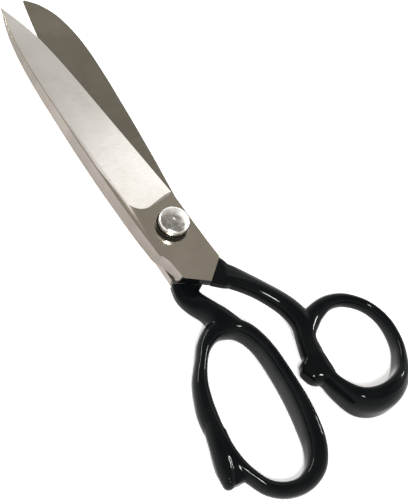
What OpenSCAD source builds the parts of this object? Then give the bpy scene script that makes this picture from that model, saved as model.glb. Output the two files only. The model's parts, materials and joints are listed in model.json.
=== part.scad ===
// Fabric shears: two forged halves that turn on a shouldered pivot screw.
// Each half is a ground steel blade set in a cast handle under a thick black enamel coat.
// The finger half lies below and holds the screw, and the thumb half turns on the screw's shoulder.
// X runs across, +Y to the blade tips, +Z out of the flat side that carries the screw head.
// Below, every size is taken from the pivot: x and y from its axis, z from the face where the
// halves meet. The last lines lift the whole part on to the surface that it rests on.

/* [Pivot] */
// Radius of the screw's shoulder, which the thumb half turns on
shoulder_r = 4.0; // [3.5:0.1:4.5]
// Radial clearance between the shoulder and the thumb half's bore
running_gap = 0.05; // [0.02:0.01:0.1]
// Radius of the screw's threaded end
thread_r = 3.0; // [2.5:0.1:3.2]
// Radius of the round screw head
head_r = 6.4; // [6:0.1:7]
// Height of the head's straight side
head_h = 3.3; // [2.5:0.1:4]
// Rise of the dome on the head
dome_h = 0.9; // [0.4:0.1:1.2]
// Radius of the spring washer, a little more than the head's
washer_r = 6.95; // [6.5:0.05:7.5]
// Height of the spring washer under the head
spring_h = 1.7; // [1.2:0.1:2]

/* [Blades] */
// Thickness of each half beside the pivot
slab_h = 5.0; // [4:0.1:6]
// Gap between the two inner faces
face_gap = 0.06; // [0.02:0.01:0.1]
// Thickness left at the cutting edge
edge_t = 0.35; // [0.25:0.05:0.5]
// Rise of the ground bevel for each millimetre away from the edge
bevel_rise = 0.205; // [0.19:0.005:0.22]
// Inward lean of the spine wall for each millimetre of height
spine_draft = 0.36; // [0.2:0.02:0.4]
// Width of the flat strip along the ridge
ridge_strip = 0.7; // [0.4:0.1:1]

/* [Handles] */
// Thickness of the enamel coat
coat = 0.45; // [0.3:0.05:0.6]

/* [Hidden] */
$fn = 48;

// The surface that the shears lie on, below the meeting face
rest_z = -8.1;
// Where the pivot stands when the part is centred over its own base
pivot_at = [-11.18, -7.53, -rest_z];

thumb_z0 = face_gap;
thumb_z1 = face_gap + slab_h;
washer_z0 = thumb_z1 + 0.05;
head_z0 = washer_z0 + spring_h + 0.02;
back_washer_h = 0.7;
nut_h = -rest_z - slab_h - back_washer_h;

// ---------------------------------------------------------------- curves

function lerp(a, b, t) = a + (b - a) * t;

// Point at t between b and c on a smooth curve through a, b, c and d
function through(a, b, c, d, t) =
    (2 * b + (c - a) * t + (2 * a - 5 * b + 4 * c - d) * t * t
     + (3 * b - a - 3 * c + d) * t * t * t) / 2;

// Smooth open curve through the key rows, each any list of numbers, with steps points a span
function open_curve(keys, steps) =
    let (last = len(keys) - 1)
    [for (i = [0 : last - 1], j = [0 : steps - 1])
        through(keys[max(i - 1, 0)], keys[i], keys[i + 1], keys[min(i + 2, last)], j / steps),
     keys[last]];

// The same for a curve that closes on itself
function closed_curve(keys, steps) =
    let (n = len(keys))
    [for (i = [0 : n - 1], j = [0 : steps - 1])
        through(keys[(i + n - 1) % n], keys[i], keys[(i + 1) % n], keys[(i + 2) % n], j / steps)];

// ---------------------------------------------------------------- swept limbs
// A station of a limb is [x, y, width, bottom z, top z, fall on the left, fall on the right,
// squareness]. Left and right are seen looking along the limb. The top is a soft roof that falls
// away from its middle, and squareness runs from 0.2 for a box to 1 for an ellipse.

section_points = 16;

function power(v, p) = sign(v) * pow(abs(v), p);

function section_point(s, side, skin, k) =
    let (a = 360 * (k + 0.5) / section_points,
         u = power(cos(a), s[7]),
         v = power(sin(a), s[7]),
         top = s[4] - skin - (u < 0 ? -u * s[5] : u * s[6]),
         low = s[3] + skin,
         out = u * (s[2] / 2 - skin))
    [s[0] + side[0] * out, s[1] + side[1] * out, lerp(low, top, (1 + v) / 2)];

// Unit vector to the right of the limb at station i
function right_of(stations, i, closed) =
    let (n = len(stations),
         a = closed ? stations[(i + n - 1) % n] : stations[max(i - 1, 0)],
         b = closed ? stations[(i + 1) % n] : stations[min(i + 1, n - 1)],
         d = [b[0] - a[0], b[1] - a[1]])
    [d[1], -d[0]] / norm(d);

// The limb, with its surface and its far end set in by skin
module sweep(stations, skin, closed = false) {
    n = len(stations);
    m = section_points;
    points = [for (i = [0 : n - 1])
        let (side = right_of(stations, i, closed),
             back = !closed && i == n - 1 ? skin * [side[1], -side[0], 0] : [0, 0, 0])
        for (k = [0 : m - 1]) section_point(stations[i], side, skin, k) + back];
    spans = closed ? n : n - 1;
    walls = [for (i = [0 : spans - 1], k = [0 : m - 1])
        let (a = i * m + k, b = i * m + (k + 1) % m,
             c = ((i + 1) % n) * m + (k + 1) % m, d = ((i + 1) % n) * m + k)
        each [[a, b, c], [a, c, d]]];
    ends = closed ? [] : [[for (k = [m - 1 : -1 : 0]) k], [for (k = [0 : m - 1]) (n - 1) * m + k]];
    polyhedron(points, concat(walls, ends), convexity = 6);
}

// A horn of overlapping pads through rows of [x, y, z, radius across, half height]
module horn(rows, skin) {
    for (i = [0 : len(rows) - 2]) hull() {
        pad(rows[i], skin);
        pad(rows[i + 1], skin);
    }
}

module pad(row, skin) {
    translate([row[0], row[1], row[2]])
        scale([1, 1, (row[4] - skin) / (row[3] - skin)])
            sphere(row[3] - skin, $fn = 14);
}

// ---------------------------------------------------------------- blades
// A blade is drawn with its spine to the left, its edge to the right and its inner face at z = 0.
// Its outline rows are [y, spine x, edge x].

// Height of the ridge where the bevel meets the spine wall
function ridge_z(w, strip) =
    min(slab_h, (edge_t + bevel_rise * (w - strip)) / (1 + bevel_rise * spine_draft));

function ground_section(row) =
    let (w = row[2] - row[1],
         strip = min(ridge_strip, w / 4),
         z = ridge_z(w, strip),
         ridge = row[1] + spine_draft * z,
         inner = max(ridge + strip, row[2] - (z - edge_t) / bevel_rise))
    [[row[1], row[0], 0], [row[2], row[0], 0], [row[2], row[0], edge_t],
     [inner, row[0], z], [ridge, row[0], z]];

module ground_blade(rows) {
    m = 5;
    n = len(rows);
    points = [for (r = rows) each ground_section(r)];
    walls = [for (i = [0 : n - 2], k = [0 : m - 1])
        let (a = i * m + k, b = i * m + (k + 1) % m)
        each [[a, b, b + m], [a, b + m, a + m]]];
    ends = [[for (k = [m - 1 : -1 : 0]) k], [for (k = [0 : m - 1]) (n - 1) * m + k]];
    polyhedron(points, concat(walls, ends));
}

// A flat slab whose walls lean in: rows are [x, y, lean x, lean y], counterclockwise from above.
// Its two faces are fans about a hub that sees every corner, because the outline isn't convex.
module drafted_slab(rows, height) {
    n = len(rows);
    hub = [0, -6];
    points = concat([for (r = rows) [r[0], r[1], 0]],
                    [for (r = rows) [r[0] + r[2], r[1] + r[3], height]],
                    [[hub[0], hub[1], 0], [hub[0], hub[1], height]]);
    walls = [for (k = [0 : n - 1])
        let (a = k, b = (k + 1) % n)
        each [[a, a + n, b + n], [a, b + n, b]]];
    fans = [for (k = [0 : n - 1])
        let (a = k, b = (k + 1) % n)
        each [[a, b, 2 * n], [b + n, a + n, 2 * n + 1]]];
    polyhedron(points, concat(walls, fans));
}

// Rows of [y, spine x, edge x]: the thumb blade is narrow and comes to a point
thumb_blade_rows = concat([[10, -14.9, 9.6]], open_curve([
    [12.9, -15.35, 11.66], [30, -15.85, 9.92], [45, -15.9, 8.39], [60, -15.75, 6.85],
    [85, -15.05, 4.3], [100, -14, 2.4], [112, -12.4, 0.3], [120, -10.75, -1.9],
    [126, -9.05, -3.9], [130, -7.6, -5.4], [132.9, -6.9, -6.45]], 4));

// The finger blade is broader and rounds over to its point
finger_blade_rows = concat([[10, -11.2, 9.1]], open_curve([
    [12.9, -11.75, 8.88], [23, -12.8, 7.94], [34, -14, 6.91], [50, -15.45, 5.4],
    [66, -16.7, 3.9], [82, -17.75, 2.4], [98, -18.2, 0.89], [110, -17.3, -0.3],
    [120.5, -15, -2.1], [128, -11.2, -3.55], [131.5, -8.1, -4.25], [133.7, -5.4, -4.85]], 4));

// Bottom outline of each slab round the pivot, with the lean of its walls. The curved shoulder
// on the left is smoothed.
thumb_slab_rows = concat([
    [1.13, -28.45, -0.53, -0.45], [11.3, -19.8, -1.2, -1], [10.7, -12, -1.1, 0], [10.4, 0, -1.2, 0],
    [10.3, 12, -1.3, 0], [10.5, 16, -1.4, 0], [-14.9, 16, 1.8, 0], [-15.33, 12.4, 1.8, 0],
    [-15.05, 5, 1.8, 0], [-14.75, 0, 1.75, 0]], open_curve([
    [-14.4, -4, 1.7, 0], [-14, -8, 1.5, 0], [-13.6, -10, 1.2, 0], [-12.5, -11.6, 1.1, 0.8],
    [-11.5, -14, 1.3, 0.8], [-10.8, -17, 1.15, 0.6], [-10.2, -20.2, 1, 0.2],
    [-9.7, -21.9, 0.7, -0.8]], 3));

finger_slab_rows = concat([
    [1.8, -27.45, 0.1, 0.1], [11.5, -19.1, -0.5, -0.4], [11.4, -10, -0.4, 0], [11.2, 0, -0.4, 0],
    [10.7, 8, -0.4, 0], [9.7, 13, -0.4, 0], [9.2, 16, -0.4, 0], [-11.2, 16, 1.5, 0],
    [-11.73, 12.4, 1.7, 0], [-11.6, 8, 1.5, 0], [-11.4, 0, 1.4, 0]], open_curve([
    [-11.3, -7, 1.2, 0], [-10.7, -9.3, 1.1, 0.5], [-9.3, -12, 1, 0.6], [-8, -15.5, 1, 0.6],
    [-6.9, -19, 1, 0.4], [-5.6, -22.3, 0.5, -0.3]], 3));

// Flat tongue that runs on from the slab into the handle: start, heading and width
module tang(start, heading, width) {
    translate([start[0], start[1], 1.2])
        rotate([0, 0, heading])
            linear_extrude(slab_h - 2.4)
                polygon([[-1, -width / 2], [9, -width / 2 + 2], [9, width / 2 - 2], [-1, width / 2]]);
}

// Clears the slab above the bevel as far as the plunge: at and turn place the edge line
module plunge_cut(at, turn, run) {
    rise = bevel_rise / cos(turn);
    reach = (slab_h - edge_t) / rise;
    translate([at[0], at[1], 0]) rotate([0, 0, turn]) intersection() {
        translate([0, 0, edge_t - 0.03])
            rotate([0, atan(rise), 0])
                translate([-60, -20, 0])
                    cube([70, 40, 30]);
        hull() {
            translate([8 - reach, 4.5, slab_h])
                cylinder(r = 8, h = 4, $fn = 40);
            translate([8 - reach, 4.5 + run, edge_t])
                cylinder(r = 8, h = 0.01, $fn = 40);
            translate([3, -2.1, slab_h])
                cube([0.01, 8, 4]);
            translate([3, -2.1 + run, edge_t])
                cube([0.01, 6, 0.01]);
            translate([-reach, 4, slab_h])
                cube([0.01, 4, 4]);
        }
    }
}

// ---------------------------------------------------------------- limbs
// Stations: [x, y, width, bottom z, top z, fall left, fall right, squareness]

finger_shank = [
    [-6.5, -23.4, 12.4, -5.2, -0.15, 0, 0, 0.2], [-8.1, -27.4, 10.4, -5.6, -0.1, 0.2, 0.8, 0.35],
    [-7.5, -32, 9.2, -6.2, 2.2, 0.8, 1.8, 0.5], [-5.1, -37.6, 8.6, -6.9, 4.4, 1.2, 2, 0.65],
    [-3.1, -43, 9.8, -7.5, 5.1, 1, 1.5, 0.7], [0.6, -49, 8, -7, 4.8, 1, 1, 0.8]];

finger_bow = [
    [-14.2, -49.2, 6.4, -6, 2.4, 0.5, 1, 0.75], [-19.4, -54.4, 5.2, -6, 2.4, 0.5, 1, 0.75],
    [-24.8, -61.6, 6.2, -6.3, 2.4, 0.5, 1, 0.75], [-28, -68.9, 7, -6.6, 2.5, 0.5, 1.2, 0.75],
    [-29.8, -74.9, 7.6, -6.8, 2.6, 0.5, 1.5, 0.75], [-31, -82, 7.2, -7, 2.8, 0.5, 1.8, 0.75],
    [-31.3, -90, 6.4, -7, 2.8, 0.5, 1.5, 0.75], [-30.5, -97.3, 6.2, -6.8, 2.2, 0.4, 1.2, 0.75],
    [-28, -103.7, 5.4, -6.4, 1.6, 0.4, 1, 0.8], [-24.9, -109.4, 5.7, -6.4, 1.4, 0.4, 1, 0.8],
    [-19.8, -113.4, 6.1, -6.6, 1.6, 0.4, 1.2, 0.8], [-13.6, -115.3, 6.8, -6.9, 2.2, 0.5, 1.5, 0.75],
    [-7.9, -114.3, 7.7, -7.3, 3, 0.6, 1.5, 0.7], [-3.1, -111.2, 8.4, -7.8, 4.2, 0.8, 1.2, 0.7],
    [0.7, -105.1, 8, -8.1, 5.4, 1.2, 0.8, 0.65], [2.7, -97.4, 7.2, -8.1, 6.6, 1.6, 0.6, 0.6],
    [4, -89.5, 6.4, -8, 7.2, 1.8, 0.5, 0.6], [4.7, -81.5, 5.6, -7.5, 7.4, 1.6, 0.5, 0.6],
    [5.2, -73, 5.4, -7, 7.1, 1.5, 0.5, 0.6], [5.4, -65.5, 5.4, -6.8, 6.6, 1.5, 0.5, 0.6],
    [4.8, -58.9, 5.6, -6.8, 6, 1.4, 0.6, 0.65], [2.9, -52.8, 6.4, -7, 5.6, 1.2, 1, 0.7],
    [-0.8, -48.6, 7.4, -7, 5, 1, 1.2, 0.75], [-7.6, -46.4, 8, -6.5, 3.6, 0.8, 1.2, 0.75]];

thumb_shank = [
    [5.35, -24.85, 12.7, 0.15, 5.2, 0, 0, 0.2], [8.2, -27.9, 11.2, -0.3, 5.2, 0.8, 0, 0.3],
    [11.8, -30.7, 9.9, -1.2, 5.1, 2, 0.3, 0.42], [19, -39.3, 8.4, -2.9, 4.7, 2.2, 0.8, 0.6],
    [25.2, -50.2, 8.8, -4, 4.4, 1.6, 1, 0.7], [27, -59.5, 9.4, -4.5, 4.3, 1, 1, 0.75],
    [24.2, -67, 8.4, -4.9, 4, 1, 1, 0.75], [22.6, -73.5, 9.2, -5.4, 3.7, 0.8, 1, 0.65],
    [22, -80, 8, -5, 3.2, 0.8, 0.8, 0.65]];

thumb_ring = [
    [24.8, -67.3, 6.4, -4.6, 4, 0.5, 0.6, 0.75], [22.8, -76, 5.8, -5.6, 4.1, 0.5, 1, 0.75],
    [22.3, -85.3, 5.8, -6.8, 4.6, 0.3, 2, 0.7], [24.3, -93, 6.6, -7.8, 5.6, 0, 3, 0.6],
    [28.1, -99.5, 9, -8.1, 7, 0, 4, 0.52], [34.6, -102.6, 9.9, -8.1, 7.6, 0, 4.5, 0.5],
    [42.6, -102.4, 9.4, -8.1, 7.6, 0, 4.5, 0.5], [50.3, -98.8, 7.6, -8, 6.6, 0, 4, 0.55],
    [55.1, -93.1, 5.8, -7, 5.2, 0, 3, 0.6], [58.5, -86.4, 4.8, -5.6, 4.3, 0.3, 2, 0.7],
    [59.9, -77.8, 4.6, -4.6, 3.7, 0.5, 1.2, 0.75], [58.6, -70.4, 4.5, -4, 3.4, 0.5, 0.8, 0.8],
    [55.2, -64.4, 4.6, -4, 3.4, 0.5, 0.6, 0.85], [49.3, -59.4, 5.4, -4, 3.4, 0.5, 0.5, 0.85],
    [42.6, -57.6, 6.4, -4, 3.5, 0.5, 0.5, 0.85], [35.8, -58.6, 7.8, -4.1, 3.8, 0.6, 0.5, 0.8],
    [29.7, -61.4, 8.8, -4.4, 4.1, 0.8, 0.5, 0.8]];

// The hook on the outside of the finger bow: [x, y, z, radius across, half height]
finger_hook = open_curve([
    [-30.8, -79, -2.1, 3.3, 4.5], [-33.4, -88.5, -2.1, 3.7, 4.7], [-35.8, -96, -2.3, 3.5, 4.5],
    [-37.4, -100.9, -2.6, 2.4, 3.6]], 3);

// Flat web between the hook and the bow
hook_web = open_curve([
    [-30.6, -82, 7, -6.6, 2.2, 0.4, 0.4, 0.5], [-32.8, -90, 9, -6.6, 2, 0.4, 0.4, 0.5],
    [-34, -96.5, 10.4, -6.4, 1.4, 0.5, 0.5, 0.5], [-34.7, -101.4, 9, -6, 0.7, 0.6, 0.6, 0.55],
    [-34.9, -103, 6.6, -5.2, -0.3, 0.4, 0.4, 0.7]], 2);

// Broad lug that stops the closing halves
stop_lug = open_curve([
    [25, -79.5, 14.6, -5.8, 3.9, 0.4, 0.4, 0.5], [21.5, -79.3, 13.8, -5.4, 3.4, 0.5, 0.5, 0.5],
    [18.4, -79.5, 11.8, -4.8, 2.6, 0.6, 0.6, 0.5], [17, -79.9, 9.2, -4.4, 1.9, 0.6, 0.6, 0.55],
    [15.9, -80.2, 7, -4, 1.1, 0.5, 0.5, 0.6], [15, -80.5, 4.8, -3.4, 0.2, 0.3, 0.3, 0.7]], 2);

module finger_form(skin, start) {
    sweep(concat(start, open_curve(finger_shank, 3)), skin);
    sweep(closed_curve(finger_bow, 2), skin, true);
    horn(finger_hook, skin);
    sweep(hook_web, skin);
}

module thumb_form(skin, start) {
    sweep(concat(start, open_curve(thumb_shank, 3)), skin);
    sweep(closed_curve(thumb_ring, 3), skin, true);
    sweep(stop_lug, skin);
}

// One more station just before the first, so that the core's end opens out of its coat
finger_mouth = [[-6.13, -22.97, 12.4, -5.2, -0.15, 0, 0, 0.2]];
thumb_mouth = [[4.98, -24.42, 12.7, 0.15, 5.2, 0, 0, 0.2]];

// ---------------------------------------------------------------- sub-parts

module finger_blade() {
    color("silver") difference() {
        rotate([0, 180, 0]) union() {
            ground_blade(finger_blade_rows);
            difference() {
                drafted_slab(finger_slab_rows, slab_h);
                plunge_cut([8.55, 16.5], 5.37, 3);
            }
            tang([6.5, -23.4], -76, 7);
        }
        translate([0, 0, -slab_h - 1])
            cylinder(r = thread_r + 0.02, h = slab_h + 2);
    }
}

module thumb_blade() {
    color("gainsboro") translate([0, 0, thumb_z0]) difference() {
        union() {
            ground_blade(thumb_blade_rows);
            difference() {
                drafted_slab(thumb_slab_rows, slab_h);
                plunge_cut([11.3, 16.5], 5.84, 3);
            }
            tang([5.35, -24.85], -49.5, 8);
        }
        translate([0, 0, -1])
            cylinder(r = shoulder_r + running_gap, h = slab_h + 2);
    }
}

module finger_handle_core() {
    color("dimgray") difference() {
        finger_form(coat, finger_mouth);
        finger_blade_root();
    }
}

module thumb_handle_core() {
    color("dimgray") difference() {
        thumb_form(coat, thumb_mouth);
        thumb_blade_root();
    }
}

// The part of each blade half that its handle grips
module finger_blade_root() {
    rotate([0, 180, 0]) {
        drafted_slab(finger_slab_rows, slab_h);
        tang([6.5, -23.4], -76, 7);
    }
}

module thumb_blade_root() {
    translate([0, 0, thumb_z0]) {
        drafted_slab(thumb_slab_rows, slab_h);
        tang([5.35, -24.85], -49.5, 8);
    }
}

module finger_handle_enamel() {
    color("black") difference() {
        finger_form(0, []);
        finger_form(coat, finger_mouth);
        finger_blade_root();
    }
}

module thumb_handle_enamel() {
    color("black") difference() {
        thumb_form(0, []);
        thumb_form(coat, thumb_mouth);
        thumb_blade_root();
    }
}

module pivot_screw() {
    thread_pitch = 0.8;
    thread_z = -slab_h - back_washer_h - nut_h;
    turns = floor((-thread_z - 0.8) / thread_pitch) - 1;
    color("silver") rotate_extrude($fn = 64) polygon(concat(
        [[0, thread_z], [thread_r - 0.4, thread_z]],
        [for (i = [0 : turns], side = [0, 1])
            [thread_r - (side == 0 ? 0 : 0.4), thread_z + 0.3 + (i + side / 2) * thread_pitch]],
        [[thread_r - 0.4, -0.4], [thread_r, -0.4], [thread_r, 0], [shoulder_r, 0],
         [shoulder_r, head_z0], [head_r - 0.4, head_z0], [head_r, head_z0 + 0.4]],
        [for (a = [0 : 15 : 90])
            [head_r - 0.5 + 0.5 * cos(a), head_z0 + head_h - 0.3 + 0.3 * sin(a)]],
        [for (t = [0.2 : 0.2 : 1])
            [(head_r - 0.5) * (1 - t), head_z0 + head_h + dome_h * (1 - (1 - t) * (1 - t))]]));
}

module spring_washer() {
    color("dimgray") translate([0, 0, washer_z0])
        rotate_extrude()
            polygon([[shoulder_r + 0.1, 0.25], [shoulder_r + 0.35, 0], [washer_r - 0.25, 0],
                     [washer_r, 0.3], [washer_r - 0.35, spring_h / 2], [washer_r, spring_h - 0.3],
                     [washer_r - 0.25, spring_h], [shoulder_r + 0.35, spring_h],
                     [shoulder_r + 0.1, spring_h - 0.25]]);
}

module back_washer() {
    color("gray") translate([0, 0, -slab_h - back_washer_h]) difference() {
        cylinder(r = 6.4, h = back_washer_h);
        translate([0, 0, -1])
            cylinder(r = thread_r + 0.15, h = back_washer_h + 2);
    }
}

module pivot_nut() {
    color("silver") translate([0, 0, rest_z]) difference() {
        intersection() {
            cylinder(r = 5.77, h = nut_h, $fn = 6);
            cylinder(r1 = 5.1, r2 = 5.1 + nut_h * 1.7, h = nut_h);
        }
        translate([0, 0, -1])
            cylinder(r = thread_r + 0.02, h = nut_h + 2);
    }
}

translate(pivot_at) {
    finger_blade();
    finger_handle_core();
    finger_handle_enamel();
    thumb_blade();
    thumb_handle_core();
    thumb_handle_enamel();
    pivot_screw();
    spring_washer();
    back_washer();
    pivot_nut();
}
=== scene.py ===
import json
import math
import bpy
from mathutils import Matrix, Vector


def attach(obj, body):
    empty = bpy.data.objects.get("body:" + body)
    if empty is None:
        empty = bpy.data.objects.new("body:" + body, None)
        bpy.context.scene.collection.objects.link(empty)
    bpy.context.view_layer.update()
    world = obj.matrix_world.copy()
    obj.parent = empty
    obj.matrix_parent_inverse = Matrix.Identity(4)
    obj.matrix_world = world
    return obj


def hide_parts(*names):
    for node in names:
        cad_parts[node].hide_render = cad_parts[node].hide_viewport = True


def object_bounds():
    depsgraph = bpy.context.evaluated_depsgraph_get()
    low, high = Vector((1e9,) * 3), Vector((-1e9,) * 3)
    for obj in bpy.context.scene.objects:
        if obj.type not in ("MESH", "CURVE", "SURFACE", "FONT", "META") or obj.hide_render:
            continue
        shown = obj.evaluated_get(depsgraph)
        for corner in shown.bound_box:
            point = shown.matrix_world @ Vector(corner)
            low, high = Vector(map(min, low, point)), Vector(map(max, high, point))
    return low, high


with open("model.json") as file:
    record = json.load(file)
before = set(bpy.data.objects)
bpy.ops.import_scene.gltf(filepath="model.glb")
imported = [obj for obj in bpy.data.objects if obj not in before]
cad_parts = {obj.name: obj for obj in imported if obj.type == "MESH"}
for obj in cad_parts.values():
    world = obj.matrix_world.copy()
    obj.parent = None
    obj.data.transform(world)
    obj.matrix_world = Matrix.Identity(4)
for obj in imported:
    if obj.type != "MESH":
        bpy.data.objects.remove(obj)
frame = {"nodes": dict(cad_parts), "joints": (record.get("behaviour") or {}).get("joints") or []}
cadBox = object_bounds()
bpy.ops.object.select_all(action="DESELECT")
scene = bpy.context.scene
scene.view_settings.view_transform = "Standard"
pivot = Vector(frame["joints"][0]["pos_m"])   # hinge axis, at the height where the halves meet
print("frame loaded")


# small helpers

def row(x, y, z):
    return pivot + Vector((x, y, z)) * 0.001   # millimetres from the pivot to the row frame


def pick(obj):
    bpy.ops.object.select_all(action="DESELECT")
    obj.select_set(True)
    bpy.context.view_layer.objects.active = obj


def edit(obj, mode="VERT"):
    pick(obj)
    bpy.ops.object.mode_set(mode="EDIT")
    bpy.ops.mesh.select_mode(type=mode)
    bpy.ops.mesh.select_all(action="SELECT")


def leave():
    bpy.ops.object.mode_set(mode="OBJECT")


def modify(obj, kind, **settings):
    modifier = obj.modifiers.new(kind.title(), kind)
    for key, value in settings.items():
        setattr(modifier, key, value)
    pick(obj)
    bpy.ops.object.modifier_apply(modifier=modifier.name)


def settle(obj, name):
    pick(obj)                                  # object to the origin, its place in the mesh
    bpy.ops.object.transform_apply(location=True, rotation=True, scale=True)
    obj.name = name
    obj.data.name = name
    return obj


def copyNode(node, name):
    obj = bpy.data.objects.new(name, frame["nodes"][node].data.copy())
    scene.collection.objects.link(obj)
    obj.data.materials.clear()
    edit(obj)
    bpy.ops.mesh.remove_doubles(threshold=1e-6)
    leave()
    return obj


def cut(obj, tool, how="DIFFERENCE"):
    modify(obj, "BOOLEAN", operation=how, object=tool, solver="MANIFOLD")
    bpy.data.objects.remove(tool)


# materials: every pattern lies on Object coordinates

class Nodes:
    def __init__(self, name):
        self.material = bpy.data.materials.new(name)
        self.material.use_nodes = True
        self.tree = self.material.node_tree
        self.shader = self.tree.nodes["Principled BSDF"]
        self.place = self.add("ShaderNodeTexCoord").outputs["Object"]

    def add(self, kind, **settings):
        node = self.tree.nodes.new(kind)
        for key, value in settings.items():
            setattr(node, key, value)
        return node

    def join(self, source, target):
        self.tree.links.new(source, target)

    def noise(self, scale, stretch=(1, 1, 1), turn=0, detail=4, rough=0.55):
        mapping = self.add("ShaderNodeMapping")
        mapping.inputs["Rotation"].default_value[2] = math.radians(turn)
        mapping.inputs["Scale"].default_value = stretch
        self.join(self.place, mapping.inputs["Vector"])
        texture = self.add("ShaderNodeTexNoise")
        texture.inputs["Scale"].default_value = scale
        texture.inputs["Detail"].default_value = detail
        texture.inputs["Roughness"].default_value = rough
        self.join(mapping.outputs["Vector"], texture.inputs["Vector"])
        return texture.outputs["Fac"]

    def span(self, value, fromLow, fromHigh, low, high):
        node = self.add("ShaderNodeMapRange")
        names = ("From Min", "From Max", "To Min", "To Max")
        for key, number in zip(names, (fromLow, fromHigh, low, high)):
            node.inputs[key].default_value = number
        self.join(value, node.inputs["Value"])
        return node.outputs["Result"]

    def tint(self, value, first, second):
        node = self.add("ShaderNodeMix", data_type="RGBA")
        node.inputs["A"].default_value = (*first, 1)
        node.inputs["B"].default_value = (*second, 1)
        self.join(value, node.inputs["Factor"])
        self.join(node.outputs["Result"], self.shader.inputs["Base Color"])

    def rough(self, value):
        self.join(value, self.shader.inputs["Roughness"])

    def bump(self, heights):
        last = None
        for value, distance in heights:
            node = self.add("ShaderNodeBump")
            node.inputs["Strength"].default_value = 1
            node.inputs["Distance"].default_value = distance
            self.join(value, node.inputs["Height"])
            if last:
                self.join(last, node.inputs["Normal"])
            last = node.outputs["Normal"]
        self.join(last, self.shader.inputs["Normal"])

    def fix(self, **values):
        for key, value in values.items():
            self.shader.inputs[key.replace("_", " ")].default_value = value


def steel(name, light, dark, roughLow, roughHigh, turn, grain, depth):
    made = Nodes(name)
    made.fix(Metallic=1.0)
    lines = made.noise(grain, stretch=(0.035, 1, 1), turn=turn, detail=5, rough=0.65)
    clouds = made.noise(45, detail=3)
    made.tint(made.span(clouds, 0.35, 0.65, 0, 1), dark, light)
    made.rough(made.span(lines, 0.3, 0.7, roughLow, roughHigh))
    made.bump([(lines, depth)])
    return made.material


def enamel(name):
    made = Nodes(name)
    made.fix(IOR=1.2)
    flow = made.noise(70, detail=2)
    peel = made.noise(420, detail=2)
    dust = made.noise(2600, detail=1)
    made.tint(made.span(flow, 0.3, 0.7, 0, 1), (0.0025, 0.0035, 0.0042), (0.0055, 0.0065, 0.007))
    made.rough(made.span(dust, 0.55, 0.8, 0.06, 0.16))
    made.bump([(flow, 0.00025), (peel, 0.000012)])
    return made.material


# light and dark colour, lowest and highest roughness, heading of the grain, its scale and depth
steels = {
    "polishedBevel": ((0.80, 0.775, 0.74), (0.72, 0.69, 0.65), 0.14, 0.24, 4, 1400, 0.0000006),
    "satinFlat": ((0.88, 0.82, 0.72), (0.78, 0.725, 0.63), 0.13, 0.2, -6, 1500, 0.0000003),
    "groundFace": ((0.52, 0.485, 0.42), (0.42, 0.39, 0.335), 0.16, 0.26, 10, 1100, 0.0000006),
    # the side walls take a darker copy of the blade steel: painted shade
    "shadedSpineWall": ((0.34, 0.305, 0.28), (0.25, 0.222, 0.2), 0.16, 0.28, 90, 1300, 0.0000006),
    # near-black spring washer: a dark washer, and its black also paints the shade in the gap under the
    # screw head
    "darkSpringAndShade": ((0.05, 0.046, 0.042), (0.03, 0.028, 0.026), 0.18, 0.32, 0, 900, 0.000001),
    "plainWasher": ((0.62, 0.6, 0.57), (0.52, 0.5, 0.47), 0.18, 0.3, 0, 900, 0.0000015),
}
polishedBevel, satinFlat, groundFace, shadedSpineWall, darkSpringAndShade, plainWasher = (
    steel(name, *values) for name, values in steels.items())
blackEnamel = enamel("blackEnamel")


def castIron():
    made = Nodes("castIron")
    made.fix(Metallic=0.8)
    grains = made.noise(1500, detail=6)
    made.tint(grains, (0.06, 0.057, 0.053), (0.16, 0.15, 0.145))
    made.rough(made.span(grains, 0.3, 0.7, 0.55, 0.8))
    made.bump([(grains, 0.00006)])
    return made.material


def chrome():
    made = Nodes("brightChrome")
    made.fix(Metallic=1.0)
    mapping = made.add("ShaderNodeMapping")
    mapping.inputs["Location"].default_value = -pivot
    made.join(made.place, mapping.inputs["Vector"])
    facets = made.add("ShaderNodeTexVoronoi", feature="SMOOTH_F1")
    facets.inputs["Scale"].default_value = 900
    made.join(mapping.outputs["Vector"], facets.inputs["Vector"])
    scuffs = made.noise(520, detail=4)
    made.tint(made.span(scuffs, 0.35, 0.65, 0, 1), (0.78, 0.76, 0.72), (0.95, 0.94, 0.92))
    made.rough(made.span(scuffs, 0.3, 0.7, 0.14, 0.34))
    made.bump([(facets.outputs["Distance"], 0.00004), (scuffs, 0.00006)])
    return made.material


ironCast = castIron()
brightChrome = chrome()
print("materials made")


# handles: limbs swept through their stations, joined, skinned over and hollowed round the casting
# a station is x, y, width, bottom, top, fall on the left, fall on the right, squareness

handleForm = {
    "around": 44, "steps": 5, "trim": 0.985,              # points round a limb, rings a station, shrink
    "hornSteps": 7, "ballSegments": 28, "ballRings": 16,
    "voxel": 0.00036, "poolPasses": 45, "easePairs": 24, "lastPasses": 2, "crease": 50,
}


def curve(a, b, c, d, t):
    return [(2 * q + (r - p) * t + (2 * p - 5 * q + 4 * r - s) * t ** 2
             + (3 * q - p - 3 * r + s) * t ** 3) / 2 for p, q, r, s in zip(a, b, c, d)]


def smoothRows(rows, closed, steps):
    count = len(rows)
    made = []
    for i in range(count if closed else count - 1):
        near = [(i + k) % count if closed else min(max(i + k, 0), count - 1) for k in (-1, 0, 1, 2)]
        made += [curve(*(rows[k] for k in near), j / steps) for j in range(steps)]
    return made if closed else made + [list(rows[-1])]


def power(value, exponent):
    return math.copysign(abs(value) ** exponent, value)


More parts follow.
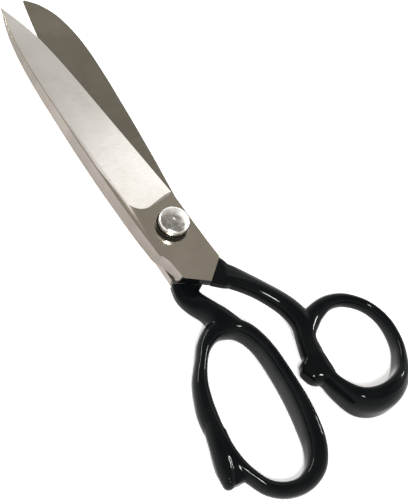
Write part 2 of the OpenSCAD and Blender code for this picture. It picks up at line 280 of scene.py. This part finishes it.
def limb(rows, closed=False):
    around = handleForm["around"]
    rings = smoothRows(rows, closed, handleForm["steps"])
    count = len(rings)
    turns = count if closed else count - 1
    bpy.ops.mesh.primitive_grid_add(x_subdivisions=around, y_subdivisions=turns, size=2)
    obj = bpy.context.object
    for vertex in obj.data.vertices:                     # the flat grid is rolled into the limb
        k = round((vertex.co.x + 1) / 2 * around) % around
        i = round((vertex.co.y + 1) / 2 * turns)
        i = i % count if closed else i
        before = rings[(i - 1) % count if closed else max(i - 1, 0)]
        after = rings[(i + 1) % count if closed else min(i + 1, count - 1)]
        along = Vector((after[0] - before[0], after[1] - before[1])).normalized()
        x, y, width, low, top, fallLeft, fallRight, square = rings[i]
        angle = 2 * math.pi * (k + 0.5) / around
        u, v = power(math.cos(angle), square), power(math.sin(angle), square)
        roof = top - (-u * fallLeft if u < 0 else u * fallRight)
        out = u * width / 2 * handleForm["trim"]
        rise = (roof + low) / 2 + v * (roof - low) / 2 * handleForm["trim"]
        vertex.co = row(x + along.y * out, y - along.x * out, rise)
    edit(obj)
    bpy.ops.mesh.remove_doubles(threshold=1e-7)
    if not closed:
        bpy.ops.mesh.select_all(action="DESELECT")
        bpy.ops.mesh.select_non_manifold()
        bpy.ops.mesh.edge_face_add()
        bpy.ops.mesh.select_all(action="SELECT")
    bpy.ops.mesh.normals_make_consistent(inside=False)
    leave()
    return obj


def horn(rows):
    balls = []
    for x, y, z, across, tall in smoothRows(rows, False, handleForm["hornSteps"]):
        bpy.ops.mesh.primitive_uv_sphere_add(
            segments=handleForm["ballSegments"], ring_count=handleForm["ballRings"], radius=1,
            location=row(x, y, z), scale=(across * 0.001, across * 0.001, tall * 0.001))
        balls.append(settle(bpy.context.object, "ball"))
    return balls


def skinOver(limbs, corners, name):
    pick(limbs[0])
    for other in limbs[1:]:
        other.select_set(True)
    bpy.ops.object.join()
    obj = bpy.context.object
    modify(obj, "REMESH", mode="VOXEL", voxel_size=handleForm["voxel"], adaptivity=0.0)
    group = obj.vertex_groups.new(name="corners")       # where limbs meet, the enamel pools
    for vertex in obj.data.vertices:
        weight = max(1 - (vertex.co - row(x, y, z)).length * 1000 / reach for x, y, z, reach in corners)
        if weight > 0:
            group.add([vertex.index], min(weight * 1.5, 1), "REPLACE")
    modify(obj, "SMOOTH", factor=0.5, iterations=handleForm["poolPasses"], vertex_group="corners")
    for _ in range(handleForm["easePairs"]):            # each shrink is undone by a swell
        modify(obj, "SMOOTH", factor=0.5, iterations=1)
        modify(obj, "SMOOTH", factor=-0.52, iterations=1)
    modify(obj, "SMOOTH", factor=0.5, iterations=handleForm["lastPasses"])
    obj.vertex_groups.clear()
    return settle(obj, name)


def coat(limbs, corners, half):
    obj = skinOver(limbs, corners, half + "HandleCoat")
    cut(obj, copyNode(half + "_handle_core", "castingTool"))
    cut(obj, copyNode(half + "_blade", "bladeTool"))
    pick(obj)
    bpy.ops.object.shade_smooth_by_angle(angle=math.radians(handleForm["crease"]))
    obj.data.materials.clear()
    obj.data.materials.append(blackEnamel)
    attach(obj, half + "_half")
    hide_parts(half + "_handle_enamel")
    print(obj.name, len(obj.data.polygons), "faces")


fingerHandle = {
    "shank": [
        (-6.5, -23.4, 12.4, -5.2, -0.15, 0, 0, 0.2), (-8.1, -27.4, 10.4, -5.6, -0.1, 0.2, 0.8, 0.35),
        (-7.5, -32, 9.2, -6.2, 2.2, 0.8, 1.8, 0.5), (-5.1, -37.6, 8.6, -6.9, 4.4, 1.2, 2, 0.65),
        (-3.1, -43, 9.8, -7.5, 5.1, 1, 1.5, 0.7), (0.6, -49, 8, -7, 4.8, 1, 1, 0.8)],
    "bow": [
        (-14.2, -49.2, 6.4, -6, 2.4, 0.5, 1, 0.75), (-19.4, -54.4, 5.2, -6, 2.4, 0.5, 1, 0.75),
        (-24.8, -61.6, 6.2, -6.3, 2.4, 0.5, 1, 0.75), (-28, -68.9, 7, -6.6, 2.5, 0.5, 1.2, 0.75),
        (-29.8, -74.9, 7.6, -6.8, 2.6, 0.5, 1.5, 0.75), (-31, -82, 7.2, -7, 2.8, 0.5, 1.8, 0.75),
        (-31.3, -90, 6.4, -7, 2.8, 0.5, 1.5, 0.75), (-30.5, -97.3, 6.2, -6.8, 2.2, 0.4, 1.2, 0.75),
        (-28, -103.7, 5.4, -6.4, 1.6, 0.4, 1, 0.8), (-24.9, -109.4, 5.7, -6.4, 1.4, 0.4, 1, 0.8),
        (-19.8, -113.4, 6.1, -6.6, 1.6, 0.4, 1.2, 0.8), (-13.6, -115.2, 6.6, -6.9, 2.2, 0.5, 1.5, 0.75),
        (-7.9, -114.3, 7.7, -7.3, 3, 0.6, 1.5, 0.7), (-3.1, -111.2, 8.4, -7.8, 4.2, 0.8, 1.2, 0.7),
        (0.7, -105.1, 8, -8.1, 5.4, 1.2, 0.8, 0.65), (2.7, -97.4, 7.2, -8.1, 6.6, 1.6, 0.6, 0.6),
        (4, -89.5, 6.4, -8, 7.2, 1.8, 0.5, 0.6), (4.7, -81.5, 5.6, -7.5, 7.4, 1.6, 0.5, 0.6),
        (5.2, -73, 5.4, -7, 7.1, 1.5, 0.5, 0.6), (5.4, -65.5, 5.4, -6.8, 6.6, 1.5, 0.5, 0.6),
        (4.8, -58.9, 5.6, -6.8, 6, 1.4, 0.6, 0.65), (2.9, -52.8, 6.4, -7, 5.6, 1.2, 1, 0.7),
        (-0.8, -48.6, 7.4, -7, 5, 1, 1.2, 0.75), (-7.6, -46.4, 8, -6.5, 3.6, 0.8, 1.2, 0.75)],
    "web": [
        (-30.6, -82, 7, -6.6, 2.2, 0.4, 0.4, 0.5), (-32.8, -90, 9, -6.6, 2, 0.4, 0.4, 0.5),
        (-34, -96.5, 10.4, -6.4, 1.4, 0.5, 0.5, 0.5), (-34.7, -101.4, 9, -6, 0.7, 0.6, 0.6, 0.55),
        (-34.9, -103, 6.6, -5.2, -0.3, 0.4, 0.4, 0.7)],
    # a horn is x, y, z, radius across, half height
    "hook": [(-30.8, -79, -2.1, 3.3, 4.5), (-33.4, -88.5, -2.1, 3.7, 4.7), (-35.8, -96, -2.3, 3.5, 4.5),
             (-37.4, -100.9, -2.6, 2.4, 3.6)],
    "corners": [
        (-6, -43.5, 2, 7), (-11, -45.5, -1, 7), (1.5, -48, 3, 6), (-31, -84, 1, 6), (-31.5, -90, 2, 5),
        (-32.5, -97, 1, 5), (-31.5, -104, -2, 4)],
}

thumbHandle = {
    "shank": [
        (5.35, -24.85, 12.7, 0.15, 5.2, 0, 0, 0.2), (8.2, -27.9, 11.2, -0.3, 5.2, 0.8, 0, 0.3),
        (11.8, -30.7, 9.9, -1.2, 5.1, 2, 0.3, 0.42), (19, -39.3, 8.4, -2.9, 4.7, 2.2, 0.8, 0.6),
        (25.2, -50.2, 8.8, -4, 4.4, 1.6, 1, 0.7), (27, -59.5, 9.4, -4.5, 4.3, 1, 1, 0.75),
        (24.2, -67, 8.4, -4.9, 4, 1, 1, 0.75), (22.6, -73.5, 9.2, -5.4, 3.7, 0.8, 1, 0.65),
        (22, -80, 8, -5, 3.2, 0.8, 0.8, 0.65)],
    "ring": [
        (24.8, -67.3, 6.4, -4.6, 4, 0.5, 0.6, 0.75), (22.8, -76, 5.8, -5.6, 4.1, 0.5, 1, 0.75),
        (22.3, -85.3, 5.8, -6.8, 4.6, 0.3, 2, 0.7), (24.3, -93, 6.6, -7.8, 5.6, 0, 3, 0.6),
        (28.1, -99.5, 9, -8.1, 7, 0, 4, 0.52), (34.6, -102.6, 9.9, -8.1, 7.6, 0, 4.5, 0.5),
        (42.6, -102.4, 9.4, -8.1, 7.6, 0, 4.5, 0.5), (50.3, -98.8, 7.6, -8, 6.6, 0, 4, 0.55),
        (55.1, -93.1, 5.8, -7, 5.2, 0, 3, 0.6), (58.5, -86.4, 4.8, -5.6, 4.3, 0.3, 2, 0.7),
        (59.9, -77.8, 4.6, -4.6, 3.7, 0.5, 1.2, 0.75), (58.6, -70.4, 4.5, -4, 3.4, 0.5, 0.8, 0.8),
        (55.2, -64.4, 4.6, -4, 3.4, 0.5, 0.6, 0.85), (49.3, -59.4, 5.4, -4, 3.4, 0.5, 0.5, 0.85),
        (42.6, -57.6, 6.4, -4, 3.5, 0.5, 0.5, 0.85), (35.8, -58.6, 7.8, -4.1, 3.8, 0.6, 0.5, 0.8),
        (29.7, -61.4, 8.8, -4.4, 4.1, 0.8, 0.5, 0.8)],
    "lug": [
        (25, -79.6, 14.8, -6.6, 3.9, 0.4, 0.4, 0.5), (21.5, -79.7, 14.6, -6.5, 3.4, 0.5, 0.5, 0.5),
        (18.4, -80, 13, -6.2, 2.6, 0.6, 0.6, 0.5), (17, -80.4, 10.6, -6, 2, 0.6, 0.6, 0.5),
        (15.9, -80.7, 8.6, -5.8, 1.5, 0.5, 0.5, 0.55), (15, -81, 6.6, -5.4, 1, 0.3, 0.3, 0.65)],
    "corners": [
        (27, -62, 3, 8), (25, -68.5, 3, 6), (33, -60, 3, 6), (20, -75, 0, 8), (20, -84, 0, 8),
        (18, -79.5, 0, 8)],
}

limbs = [limb(fingerHandle["shank"]), limb(fingerHandle["bow"], closed=True), limb(fingerHandle["web"])]
limbs += horn(fingerHandle["hook"])
coat(limbs, fingerHandle["corners"], "finger")
limbs = [limb(thumbHandle["shank"]), limb(thumbHandle["ring"], closed=True), limb(thumbHandle["lug"])]
coat(limbs, thumbHandle["corners"], "thumb")
for half in ("finger", "thumb"):
    core = frame["nodes"][half + "_handle_core"]
    core.data.materials.clear()
    core.data.materials.append(ironCast)
print("handles made")


# blades: the ground blanks with their edges broken, a finish for each ground face, and painted shade, a
# darker copy of the steel, on the side walls

bladeFinish = {
    "edgeBreak": 0.00014, "edgeSteps": 2, "sharpest": 16, "crease": 40,
    "flat": 0.4, "sliver": 0.00003, "faceWeight": 80,
}


def groundBlade(half, finishesAndShade, chooseFinishAndShade):
    obj = copyNode(half + "_blade", half + "BladeGround")
    edit(obj, "EDGE")
    bpy.ops.mesh.dissolve_degenerate(threshold=bladeFinish["sliver"])
    bpy.ops.mesh.dissolve_limited(angle_limit=math.radians(bladeFinish["flat"]),
                                  use_dissolve_boundaries=False)
    leave()
    for finish in finishesAndShade:
        obj.data.materials.append(finish)
    for face in obj.data.polygons:
        face.material_index = finishesAndShade.index(chooseFinishAndShade(face.center - pivot, face.normal))
    modify(obj, "BEVEL", width=bladeFinish["edgeBreak"], segments=bladeFinish["edgeSteps"],
           limit_method="ANGLE", angle_limit=math.radians(bladeFinish["sharpest"]),
           use_clamp_overlap=True, miter_outer="MITER_ARC")
    pick(obj)
    bpy.ops.object.shade_smooth_by_angle(angle=math.radians(bladeFinish["crease"]))
    modify(obj, "WEIGHTED_NORMAL", mode="FACE_AREA", weight=bladeFinish["faceWeight"], keep_sharp=True)
    settle(obj, half + "BladeGround")
    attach(obj, half + "_half")
    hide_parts(half + "_blade")
    print(obj.name, len(obj.data.polygons), "faces")


def thumbFinishAndShade(at, normal):
    if at.y < -0.0215 and abs(normal.z) < 0.7:         # the walls next to the handle are enamelled
        return blackEnamel
    if normal.z > 0.9 and at.y > 0.008 and normal.x > 0.1:
        return polishedBevel
    if abs(normal.z) > 0.95:
        return satinFlat
    # the side walls get the darkened steel, painted shade
    return shadedSpineWall if normal.x < 0.5 else polishedBevel


def fingerFinishAndShade(at, normal):
    if at.y < -0.0195 and at.x > -0.006 and abs(normal.z) < 0.7:
        return blackEnamel
    if normal.z > 0.95:
        return groundFace
    if normal.z < -0.9 and abs(normal.x) > 0.1:
        return polishedBevel
    # the side walls get the darkened steel, painted shade
    return satinFlat if normal.z < -0.9 else shadedSpineWall


groundBlade("thumb", [satinFlat, polishedBevel, shadedSpineWall, blackEnamel], thumbFinishAndShade)
groundBlade("finger", [groundFace, polishedBevel, satinFlat, shadedSpineWall, blackEnamel], fingerFinishAndShade)
print("blades made")


# pivot: turned pieces, each a profile of radius and height spun round the hinge axis

screw = {
    "profile": [
        (0, 10.84), (0.3, 10.86), (0.55, 10.98), (1.5, 11.0), (2.7, 10.9), (3.9, 10.68), (5.0, 10.38),
        (5.65, 10.14), (6.03, 9.96), (6.27, 9.72), (6.38, 9.4), (6.4, 9.0), (6.4, 7.35), (6.34, 7.1),
        (6.2, 6.9), (6.0, 6.83),
        (4.0, 6.83), (4.0, 0.15), (3.85, 0.0), (3.0, 0.0), (3.0, -0.4), (2.6, -0.6)],
    "pitch": 0.8, "threadEnd": -7.6, "crest": 3.0, "root": 2.6, "tip": -8.1,
}
springWasher = {
    "profile": [
        (4.1, 5.36), (4.22, 5.19), (4.35, 5.11), (6.7, 5.11), (6.87, 5.2), (6.95, 5.41), (6.9, 5.62),
        (6.65, 5.86), (6.6, 5.96), (6.65, 6.06), (6.9, 6.3), (6.95, 6.51), (6.87, 6.72), (6.7, 6.81),
        (4.35, 6.81), (4.22, 6.73), (4.1, 6.56)],
}
backWasher = {
    "profile": [
        (3.15, -5.15), (3.3, -5.0), (6.25, -5.0), (6.4, -5.15), (6.4, -5.55), (6.25, -5.7), (3.3, -5.7),
        (3.15, -5.55)],
}
turning = {"steps": 96, "crease": 28, "joinWithin": 2e-6}


def turned(name, profile, ring, finish, node):
    bpy.ops.mesh.primitive_plane_add(size=0.001)
    obj = bpy.context.object
    edit(obj)
    bpy.ops.mesh.merge(type="CENTER")
    leave()
    obj.data.vertices[0].co = row(profile[0][0], 0, profile[0][1])
    edit(obj)
    for (r0, z0), (r1, z1) in zip(profile, profile[1:]):
        step = ((r1 - r0) * 0.001, 0, (z1 - z0) * 0.001)
        bpy.ops.mesh.extrude_region_move(TRANSFORM_OT_translate={"value": step})
    bpy.ops.mesh.select_all(action="SELECT")
    if ring:
        bpy.ops.mesh.edge_face_add()
        bpy.ops.mesh.delete(type="ONLY_FACE")
        bpy.ops.mesh.select_all(action="SELECT")
    bpy.ops.mesh.spin(steps=turning["steps"], angle=2 * math.pi, center=pivot, axis=(0, 0, 1),
                      use_auto_merge=True)
    bpy.ops.mesh.select_all(action="SELECT")
    bpy.ops.mesh.remove_doubles(threshold=turning["joinWithin"])
    bpy.ops.mesh.normals_make_consistent(inside=False)
    leave()
    pick(obj)
    bpy.ops.object.shade_smooth_by_angle(angle=math.radians(turning["crease"]))
    obj.data.materials.append(finish)
    settle(obj, name)
    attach(obj, "finger_half")
    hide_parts(node)
    print(obj.name, len(obj.data.polygons), "faces")


thread = []
height = -0.8
while height > screw["threadEnd"] + screw["pitch"]:
    thread += [(screw["crest"], height - 0.3), (screw["root"], height - 0.7)]
    height -= screw["pitch"]
screwProfile = screw["profile"] + thread + [(screw["root"], screw["tip"]), (0, screw["tip"])]
turned("pivotScrewTurned", screwProfile, False, brightChrome, "pivot_screw")
# the spring washer's black is partly painted shade for the gap under the head
turned("springWasherTurned", springWasher["profile"], True, darkSpringAndShade, "spring_washer")
turned("backWasherTurned", backWasher["profile"], True, plainWasher, "back_washer")

nutFinish = {"edgeBreak": 0.00012, "edgeSteps": 2, "sharpest": 25, "crease": 35, "flat": 0.5}
nut = copyNode("pivot_nut", "pivotNutMilled")
edit(nut, "EDGE")
bpy.ops.mesh.dissolve_limited(angle_limit=math.radians(nutFinish["flat"]))
leave()
nut.data.materials.append(plainWasher)
modify(nut, "BEVEL", width=nutFinish["edgeBreak"], segments=nutFinish["edgeSteps"],
       limit_method="ANGLE", angle_limit=math.radians(nutFinish["sharpest"]))
pick(nut)
bpy.ops.object.shade_smooth_by_angle(angle=math.radians(nutFinish["crease"]))
settle(nut, "pivotNutMilled")
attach(nut, "finger_half")
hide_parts("pivot_nut")
print("pivot made")


# floor, light and camera

studio = {
    "floorSize": 6, "floorColor": (0.9, 0.9, 0.895), "floorGlow": 0.42,
    # brightness of the room by height: sine of the elevation, colour
    "room": [(0.0, (1.05, 1.05, 1.05)), (0.3, (0.95, 0.95, 0.94)), (0.5, (0.66, 0.645, 0.62)),
             (0.66, (0.36, 0.345, 0.32)), (0.8, (0.25, 0.235, 0.21)), (1.0, (0.2, 0.19, 0.175))],
    # direction from the shears, distance, width, height, watts
    "wall": ((0.80, 0.22, 0.57), 1.7, 1.1, 0.75, 2.0),
    "window": ((0.84, -0.2, 0.48), 1.7, 0.26, 0.16, 12),
    "lamp": ((-0.38, -0.41, 0.83), 0.9, 0.11, 0.11, 4.5),
    "strip": ((-0.35, 0.84, 0.42), 1.7, 0.9, 0.08, 12),
}

bpy.ops.mesh.primitive_plane_add(size=studio["floorSize"], location=(0, 0, cadBox[0].z - 0.0002))
floor = bpy.context.object
paper = bpy.data.materials.new("paleFloor")
paper.use_nodes = True
shader = paper.node_tree.nodes["Principled BSDF"]
shader.inputs["Base Color"].default_value = (*studio["floorColor"], 1)
shader.inputs["Roughness"].default_value = 0.8
shader.inputs["Specular IOR Level"].default_value = 0.1
shader.inputs["Emission Color"].default_value = (1, 1, 1, 1)
shader.inputs["Emission Strength"].default_value = studio["floorGlow"]
floor.data.materials.append(paper)
settle(floor, "paleFloor")

world = bpy.data.worlds.new("studio")
scene.world = world
world.use_nodes = True
tree = world.node_tree
sky = tree.nodes.new("ShaderNodeTexCoord")
split = tree.nodes.new("ShaderNodeSeparateXYZ")
ramp = tree.nodes.new("ShaderNodeValToRGB")
tree.links.new(sky.outputs["Generated"], split.inputs["Vector"])
tree.links.new(split.outputs["Z"], ramp.inputs["Fac"])
tree.links.new(ramp.outputs["Color"], tree.nodes["Background"].inputs["Color"])
stops = ramp.color_ramp.elements
for stop, (height, color) in zip([stops[0], stops[1]], (studio["room"][0], studio["room"][-1])):
    stop.position, stop.color = height, (*color, 1)
for height, color in studio["room"][1:-1]:
    stops.new(height).color = (*color, 1)
tree.nodes["Background"].inputs["Strength"].default_value = 1.0


def panel(name):
    direction, distance, width, height, watts = studio[name]
    data = bpy.data.lights.new(name, "AREA")
    data.shape = "RECTANGLE"
    data.size, data.size_y, data.energy = width, height, watts
    obj = bpy.data.objects.new(name, data)
    scene.collection.objects.link(obj)
    obj.location = Vector(direction).normalized() * distance
    obj.rotation_mode = "QUATERNION"
    obj.rotation_quaternion = Vector(direction).to_track_quat("Z", "Y")


for light in ("wall", "window", "lamp", "strip"):
    panel(light)

viewpoint = {
    "lens": 78.5, "fromPivot": (-196.8, -158.5, 372.7),
    "right": (0.80885, -0.53843, 0.23633), "up": (0.37018, 0.77854, 0.50680),
}
data = bpy.data.cameras.new("camera")
data.lens = viewpoint["lens"]
data.sensor_width = 36
data.clip_start = 0.01
camera = bpy.data.objects.new("camera", data)
scene.collection.objects.link(camera)
right, up = Vector(viewpoint["right"]).normalized(), Vector(viewpoint["up"])
back = right.cross(up).normalized()
up = back.cross(right)
turn = Matrix((right, up, back)).transposed().to_4x4()
camera.matrix_world = Matrix.Translation(row(*viewpoint["fromPivot"])) @ turn
scene.camera = camera
print("studio made")
